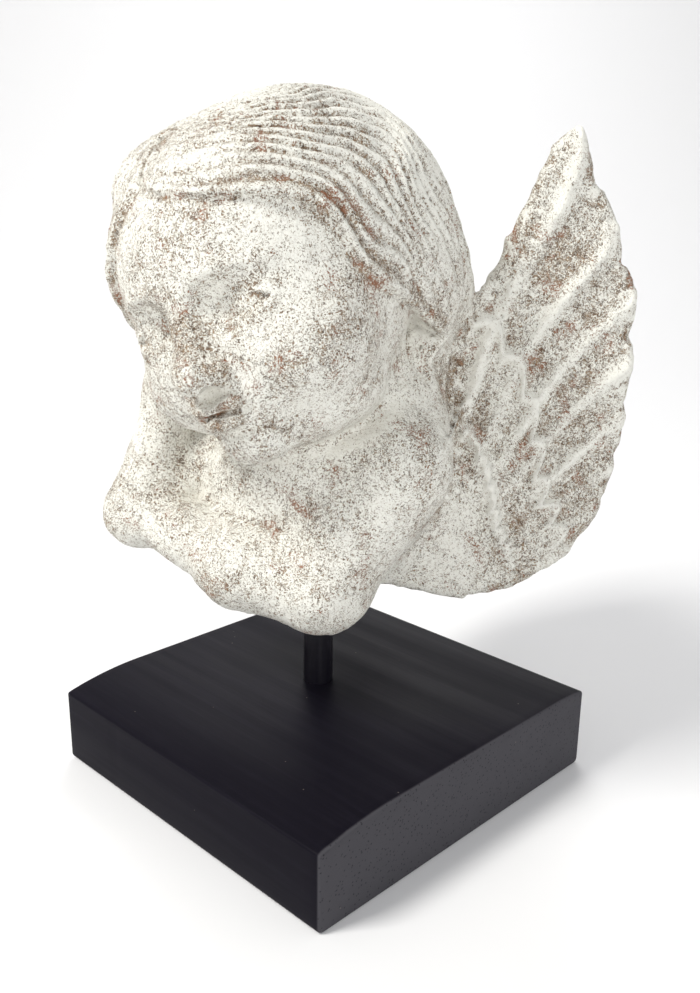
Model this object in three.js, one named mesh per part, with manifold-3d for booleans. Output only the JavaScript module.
// A putto: a child's head resting on one hand, two folded arms and two wings, carved as one stone.
// A rod carries it above a square wooden slab. Millimetres, +Z up. The child faces -Y, its left
// side is +X, and the origin is the middle of the slab's underside.
import * as THREE from 'three';
import Module from 'manifold-3d';
import { mergeVertices } from 'three/addons/utils/BufferGeometryUtils.js';

const wasm = await Module();
wasm.setup();

// --- driving dimensions ---

const GAP = 0.3;
const MERGE_DISTANCE = 1e-4;
const SLAB = { side: 150, height: 34.5, corner: 2.5 };
const FRONT_FALL = { run: 34, drop: 4.2 };
const BACK_FALL = { run: 18, drop: 1.5 };
const ROD = { radius: 6, x: -7, y: 2.5, inSlab: 16, top: 104, sides: 32 };

const HEAD = { centre: [-4, -19, 198.5], yaw: 10, pitch: 8, roll: 20, across: 52, down: 32, reach: 100 };
const FACE_CROWDING = 0.45;
const HAIR_THICKNESS = 3;

const CHEST = { centre: [0, 2, 124], across: 32, down: 20, reach: 90 };
const LEFT_ELBOW = { centre: [17, -19, 90], radius: 19, across: 30, down: 20, reach: 90 };
const RIGHT_ELBOW = { centre: [-55.5, -49.5, 106.5], radius: 11.5, across: 24, down: 16, reach: 80 };
const LEFT_SHOULDER = [38, -2, 134];
const RIGHT_SHOULDER = [-48, 4, 136];
const LEFT_FOREARM = [-8, -36.5, 94];
const LEFT_WRIST = [-31, -43, 100];
const RIGHT_WRIST = [-54.5, -31.5, 147];
const HAND = { centre: [-55, -30, 158], across: 20, down: 14, reach: 40 };

// A wing stands on edge, swept back from the middle of the back. Along it, r runs outwards and z up.
// Its feathers fan out from a root point; each has its own reach, and the last one is the wing's tip.
const WING = {
  sweep: 45, setBack: 15, root: [30, 80], rootRadius: 8, rings: 12, rootHalf: 12, tipHalf: 5, rim: 0.45,
};
const FEATHER = { firstAngle: -12, step: 8.7, relief: 1.3, notch: 0.97, tierStep: 1.4 };
const FEATHER_REACH = [29, 53, 71, 83, 93, 104, 120, 141, 158, 180];
const WING_SHOULDER = [[75, 107], [80, 98], [90, 94], [102, 78], [114, 52]];

// Degrees round the head (to the child's left is positive) and degrees up, along the edge of the hair.
const HAIRLINE = [
  [-180, -56], [-104, -46], [-84, -37], [-58, -14], [-46, 8], [-27, 27], [-14, 45], [-9, 52],
  [0, 40], [10, 26], [20, 19], [41, 12], [54, 2], [58, -8], [74, -30], [108, -46], [180, -56],
];

// --- fields: distances that are negative inside a form ---

const { abs, atan2, cos, hypot, max, PI, sign, sin } = Math;
const clamp = THREE.MathUtils.clamp;
const radians = THREE.MathUtils.degToRad;
const degrees = THREE.MathUtils.radToDeg;
const ramp = THREE.MathUtils.smoothstep;
const minus = (a, b) => a.map((value, i) => value - b[i]);
const dot = (a, b) => a[0] * b[0] + a[1] * b[1] + a[2] * b[2];

/** Joins two fields with a fillet about as wide as the given softness. */
function blend(a, b, softness) {
  const h = clamp(0.5 + (0.5 * (b - a)) / softness, 0, 1);
  return b + (a - b) * h - softness * h * (1 - h);
}

/** Cuts the second field out of the first, with a rounded lip. */
const carve = (a, b, softness) => -blend(-a, b, softness);

/** An ellipsoid's distance, from its scaled length and that length's slope. */
function ellipsoid(p, centre, radii) {
  const q = minus(p, centre);
  const scaled = hypot(q[0] / radii[0], q[1] / radii[1], q[2] / radii[2]);
  const slope = hypot(q[0] / radii[0] ** 2, q[1] / radii[1] ** 2, q[2] / radii[2] ** 2);
  return (scaled * (scaled - 1)) / max(slope, 1e-6);
}

const ball = (p, centre, radius) => hypot(...minus(p, centre)) - radius;

/** A tapering limb: the distance to the segment ab, less a radius that runs from ra to rb. */
function limb(p, a, b, ra, rb) {
  const axis = minus(b, a);
  const h = clamp(dot(minus(p, a), axis) / dot(axis, axis), 0, 1);
  return hypot(...minus(minus(p, a), axis.map((value) => value * h))) - (ra + (rb - ra) * h);
}

// --- the head, in its own axes: x to the child's left, y backwards, z up ---

/** Skull, cheeks, chin and jaw of a small child. */
function flesh(p, m) {
  let d = ellipsoid(p, [0, 10, 10], [52, 59, 48]);
  d = blend(d, ellipsoid(p, [0, -12, -12], [45, 43, 39]), 16);
  d = blend(d, ellipsoid(p, [0, -17, 16], [43, 38, 33]), 12);
  d = blend(d, ellipsoid(m, [22, -31, -20], [19.5, 20, 18]), 10);
  d = blend(d, ellipsoid(p, [0, -40, -43], [15, 13, 10]), 9);
  return blend(d, ellipsoid(p, [0, -22, -46], [20, 20, 8]), 9);
}

/** Eye hollows with closed-over balls, a short nose and full lips. */
function features(d, p, m) {
  d = carve(d, ellipsoid(m, [20, -61, -1], [15, 9, 8.5]), 8);
  d = blend(d, ball(m, [20.5, -43.5, -4], 12), 2.5);
  let nose = limb(p, [0, -52, 1], [0, -58.5, -19], 4.6, 5.6);
  nose = blend(nose, ball(p, [0, -60.5, -22], 6.4), 4);
  nose = blend(nose, ball(m, [6.6, -56.5, -24], 4.2), 3);
  d = blend(d, nose, 6);
  d = blend(d, ellipsoid(m, [4.2, -53.5, -34.6], [7.6, 5.2, 3]), 2.2);
  return blend(d, ellipsoid(p, [0, -53, -39.3], [8.6, 5.2, 3.5]), 2.2);
}

/** How far round and up a direction from the middle of the head lies, and the hairline there. */
function aboveHairline(p) {
  const [x, y, z] = minus(p, [0, 6, 8]);
  const round = degrees(atan2(x, -y));
  const up = degrees(atan2(z, hypot(x, y)));
  const next = HAIRLINE.findIndex(([at]) => at >= round);
  const [[from, low], [to, high]] = [HAIRLINE[max(next - 1, 0)], HAIRLINE[max(next, 1)]];
  return up - (low + ((high - low) * (round - from)) / (to - from));
}

/** The cap of hair, thicker than the skull and cut off along the hairline. */
function hair(p) {
  let d = ellipsoid(p, [0, 12, 11], [57, 64, 52]);
  d = blend(d, ellipsoid(p, [-2, -12, 21], [49, 42, 34]), 10);
  d = blend(d, ellipsoid(p, [2, 27, -16], [51, 47, 38]), 14);
  d = blend(d, ellipsoid(p, [-21, -12, 44], [24, 24, 16]), 12);
  return carve(d, 0.7 * (aboveHairline(p) - HAIR_THICKNESS), HAIR_THICKNESS);
}

function head(p) {
  const mirrored = [abs(p[0]), p[1], p[2]];
  return blend(features(flesh(p, mirrored), p, mirrored), hair(p), 1.2);
}

// --- the body ---

function chest(p) {
  let d = ellipsoid(p, [0, 2, 120], [42, 32, 34]);
  d = blend(d, ellipsoid(p, [-20, -18, 118], [25, 17, 22]), 12);
  d = blend(d, ellipsoid(p, [17, 14, 148], [23, 20, 25]), 14);
  d = blend(d, ellipsoid(p, [33, 3, 134], [19, 18, 19]), 16);
  d = blend(d, ellipsoid(p, [-42, 4, 138], [21, 22, 20]), 16);
  return blend(d, limb(p, [0, 2, 128], [-2, -6, 165], 30, 26), 12);
}

function leftArm(p) {
  const upper = limb(p, LEFT_SHOULDER, LEFT_ELBOW.centre, 16, LEFT_ELBOW.radius);
  let fore = limb(p, LEFT_ELBOW.centre, LEFT_FOREARM, LEFT_ELBOW.radius, 15);
  fore = blend(fore, limb(p, LEFT_FOREARM, LEFT_WRIST, 15, 11), 7);
  return blend(upper, blend(fore, limb(p, LEFT_WRIST, [-50, -48, 104], 11, 9), 6), 3);
}

function rightArm(p) {
  const upper = limb(p, RIGHT_SHOULDER, RIGHT_ELBOW.centre, 19, RIGHT_ELBOW.radius);
  return blend(upper, limb(p, RIGHT_ELBOW.centre, RIGHT_WRIST, RIGHT_ELBOW.radius, 10.5), 5);
}

function hand(p) {
  return blend(ellipsoid(p, [-54, -31, 153], [9, 13, 17]), ellipsoid(p, [-55, -28, 170], [7, 11, 13]), 5);
}

// --- skins ---

/** The farthest distance from the centre, along a direction, at which the field changes sign. */
function surfaceDistance(field, centre, direction, reach) {
  const at = (t) => field(centre.map((value, i) => value + direction[i] * t));
  const step = reach / 60;
  let outside = reach;
  while (outside > step && at(outside - step) > 0) outside -= step;
  let inside = outside - step;
  for (let round = 0; round < 16; round += 1) {
    const middle = (inside + outside) / 2;
    if (at(middle) > 0) outside = middle;
    else inside = middle;
  }
  return (inside + outside) / 2;
}

/** A sphere whose points slide along their rays to the field's surface; crowding packs them to -Y. */
function skin(field, { centre, across, down, reach }, crowding = 0) {
  const geometry = new THREE.SphereGeometry(1, across, down);
  const { position, uv } = geometry.attributes;
  for (let i = 0; i < position.count; i += 1) {
    const around = (uv.getX(i) - 0.5) * 2 * PI;
    const round = around - crowding * sin(around);
    const polar = (1 - uv.getY(i)) * PI;
    const direction = [sin(round) * sin(polar), -cos(round) * sin(polar), cos(polar)];
    const snapped = direction.map((value) => Number(value.toFixed(6)));
    const t = surfaceDistance(field, centre, snapped, reach);
    position.setXYZ(i, ...centre.map((value, axis) => value + snapped[axis] * t));
  }
  return geometry;
}

/** The wing's outline as angle and reach: a peak and a notch for each feather, then the shoulder. */
function wingOutline() {
  const { firstAngle, step, notch } = FEATHER;
  const tips = FEATHER_REACH.flatMap((reach, i) => {
    const next = FEATHER_REACH[i + 1];
    const peak = [firstAngle + step * (i + 0.5), reach];
    return next ? [peak, [firstAngle + step * (i + 1), (notch * (reach + next)) / 2]] : [peak];
  });
  return [[firstAngle, 0.6 * FEATHER_REACH[0]], ...tips, ...WING_SHOULDER];
}

/** Half of a wing's thickness: thick at the root, with three overlapping tiers of rounded feathers. */
function wingHalf(angle, along, reach) {
  const outerTier = 62 + 45 * ramp(angle, 30, 85);
  const feather = abs(sin((PI * (angle - FEATHER.firstAngle)) / FEATHER.step));
  const innerTier = 0.64 * outerTier;
  const tiers = 1 - ramp(along, outerTier - 3, outerTier + 3) - ramp(along, innerTier - 3, innerTier + 3);
  const body = WING.tipHalf + (WING.rootHalf - WING.tipHalf) * (1 - ramp(along, 0, 130));
  const rim = WING.rim + (1 - WING.rim) * ramp(reach - along, 0, 9);
  return body * rim + FEATHER.tierStep * tiers + FEATHER.relief * (feather - 0.7) * ramp(along, 15, 45);
}

/** A wing bent from a box: its width fans round the root, its length runs out to the feather tips. */
function wing(side) {
  const outline = wingOutline();
  const columns = outline.length - 1;
  const geometry = new THREE.BoxGeometry(columns, 1, WING.rings, columns, 1, WING.rings);
  const { position } = geometry.attributes;
  const sweep = radians(WING.sweep);
  for (let i = 0; i < position.count; i += 1) {
    const [angle, reach] = outline[Math.round(position.getX(i) + columns / 2)];
    const outwards = position.getZ(i) / WING.rings + 0.5;
    const along = WING.rootRadius + (reach - WING.rootRadius) * outwards ** 0.85;
    const r = WING.root[0] + along * cos(radians(angle));
    const z = WING.root[1] + along * sin(radians(angle));
    const b = -WING.setBack + sign(position.getY(i)) * wingHalf(angle, along, reach);
    position.setXYZ(i, side * (r * cos(sweep) + b * sin(sweep)), r * sin(sweep) - b * cos(sweep), z);
  }
  if (side < 0) geometry.index.array.reverse();
  return geometry;
}

// --- solids ---

function solid(geometry) {
  geometry.deleteAttribute('normal');
  geometry.deleteAttribute('uv');
  const merged = mergeVertices(geometry, MERGE_DISTANCE);
  const vertProperties = merged.attributes.position.array;
  const triVerts = merged.index.array;
  return new wasm.Manifold(new wasm.Mesh({ numProp: 3, vertProperties, triVerts }));
}

function geometryOf(body) {
  const mesh = body.getMesh();
  const geometry = new THREE.BufferGeometry();
  geometry.setAttribute('position', new THREE.BufferAttribute(mesh.vertProperties, 3));
  geometry.setIndex(new THREE.BufferAttribute(mesh.triVerts, 1));
  geometry.computeVertexNormals();
  return geometry;
}

/** An upright round bar on the rod's axis. */
function bar(radius, bottom, top) {
  const geometry = new THREE.CylinderGeometry(radius, radius, top - bottom, ROD.sides);
  return geometry.rotateX(PI / 2).translate(ROD.x, ROD.y, (bottom + top) / 2);
}

/** The slab: its top falls away in a long arc to the front and a short one to the back. */
function slab() {
  const half = SLAB.side / 2;
  const { height, corner } = SLAB;
  const arcRadius = ({ run, drop }) => (run ** 2 + drop ** 2) / (2 * drop);
  const frontRadius = arcRadius(FRONT_FALL);
  const backRadius = arcRadius(BACK_FALL);
  const outline = new THREE.Shape();
  outline.absarc(-half + corner, corner, corner, PI, 1.5 * PI);
  outline.absarc(half - corner, corner, corner, 1.5 * PI, 2 * PI);
  const backAngle = Math.asin(BACK_FALL.run / backRadius);
  outline.absarc(half - BACK_FALL.run, height - backRadius, backRadius, PI / 2 - backAngle, PI / 2);
  const frontAngle = Math.asin(FRONT_FALL.run / frontRadius);
  outline.absarc(-half + FRONT_FALL.run, height - frontRadius, frontRadius, PI / 2, PI / 2 + frontAngle);
  const options = { depth: SLAB.side, curveSegments: 6, bevelEnabled: false };
  const geometry = new THREE.ExtrudeGeometry(outline, options);
  const axes = [new THREE.Vector3(0, 1, 0), new THREE.Vector3(0, 0, 1), new THREE.Vector3(1, 0, 0)];
  return geometry.translate(0, 0, -half).applyMatrix4(new THREE.Matrix4().makeBasis(...axes));
}

/** Turns the head: nodding, then tipping to the child's right, then turning to its left. */
function poseHead(geometry) {
  geometry.rotateX(radians(HEAD.pitch)).rotateY(radians(-HEAD.roll)).rotateZ(radians(HEAD.yaw));
  return geometry.translate(...HEAD.centre);
}

function putto() {
  const turned = poseHead(skin(head, { ...HEAD, centre: [0, 0, 0] }, FACE_CROWDING));
  const arms = [skin(leftArm, LEFT_ELBOW), skin(rightArm, RIGHT_ELBOW), skin(hand, HAND)];
  const parts = [turned, skin(chest, CHEST), ...arms, wing(1), wing(-1)].map(solid);
  const whole = parts.reduce((sum, part) => sum.add(part));
  return whole.subtract(solid(bar(ROD.radius + GAP, 0, ROD.top + GAP)));
}

const slabBottomOfHole = SLAB.height - ROD.inSlab;
const rodHole = solid(bar(ROD.radius + GAP, slabBottomOfHole - GAP, 2 * SLAB.height));
const slabSolid = solid(slab()).subtract(rodHole);

const stone = new THREE.MeshStandardMaterial({ color: 0xe6dfd2, roughness: 0.9, metalness: 0 });
const blackWood = new THREE.MeshStandardMaterial({ color: 0x17151a, roughness: 0.45, metalness: 0 });
const blackPaint = new THREE.MeshStandardMaterial({ color: 0x121113, roughness: 0.4, metalness: 0.2 });

function piece(name, geometry, material) {
  const mesh = new THREE.Mesh(geometry, material);
  mesh.name = name;
  return mesh;
}

const group = new THREE.Group();
group.add(
  piece('slab', geometryOf(slabSolid), blackWood),
  piece('rod', bar(ROD.radius, slabBottomOfHole, ROD.top), blackPaint),
  piece('putto', geometryOf(putto()), stone),
);

export default group;
